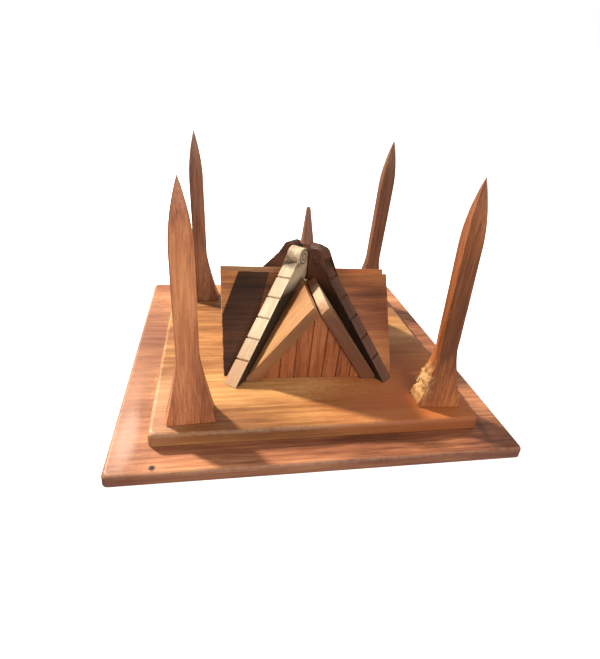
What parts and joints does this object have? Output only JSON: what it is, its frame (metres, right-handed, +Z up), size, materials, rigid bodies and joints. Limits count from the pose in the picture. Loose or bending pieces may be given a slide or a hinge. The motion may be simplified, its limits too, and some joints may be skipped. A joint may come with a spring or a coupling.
{
  "type": "wooden building model",
  "caption": "Hand-made hardwood model of a tent-roofed hall with crossed gables, curled corner ribs, a turned spire and pointed corner towers on a two-step square base.",
  "frame": {"origin": "centre of the underside of the lower base", "axes": "+Z up; -Y is the front, with the open gable that shows its kerfed wall; +X to the right seen from the front"},
  "size_m": [0.3, 0.3, 0.1974],
  "materials": {
    "base_wood": "satin varnished reddish-brown hardwood, rubbed pale at the edges",
    "plinth_wood": "satin varnished orange-brown hardwood",
    "tower_wood": "satin varnished dark reddish-brown hardwood",
    "board_wood": "satin varnished orange-tan hardwood",
    "wall_wood": "satin varnished reddish-brown hardwood with saw kerfs",
    "rib_wood": "light brown hardwood, thinly varnished",
    "spire_wood": "turned pinkish-brown hardwood",
    "core_wood": "bare, unvarnished hardwood",
    "screw_steel": "plain steel wood screw"
  },
  "bodies": {
    "root": {"lower_base": "base_wood", "upper_plinth": "plinth_wood", "base_screw_1": "screw_steel", "base_screw_2": "screw_steel", "base_screw_3": "screw_steel", "base_screw_4": "screw_steel", "tower_screw_1": "screw_steel", "tower_screw_2": "screw_steel", "tower_screw_3": "screw_steel", "tower_screw_4": "screw_steel", "tower_front_left": "tower_wood", "tower_front_right": "tower_wood", "tower_back_left": "tower_wood", "tower_back_right": "tower_wood", "roof_board_front_a": "board_wood", "roof_board_front_b": "board_wood", "gable_wall_front": "wall_wood", "roof_board_right_a": "board_wood", "roof_board_right_b": "board_wood", "gable_wall_right": "wall_wood", "roof_board_back_a": "board_wood", "roof_board_back_b": "board_wood", "gable_wall_back": "wall_wood", "roof_board_left_a": "board_wood", "roof_board_left_b": "board_wood", "gable_wall_left": "wall_wood", "rib_front_left": "rib_wood", "rib_front_right": "rib_wood", "rib_back_left": "rib_wood", "rib_back_right": "rib_wood", "spire": "spire_wood", "king_post": "core_wood"}
  },
  "joints": []
}
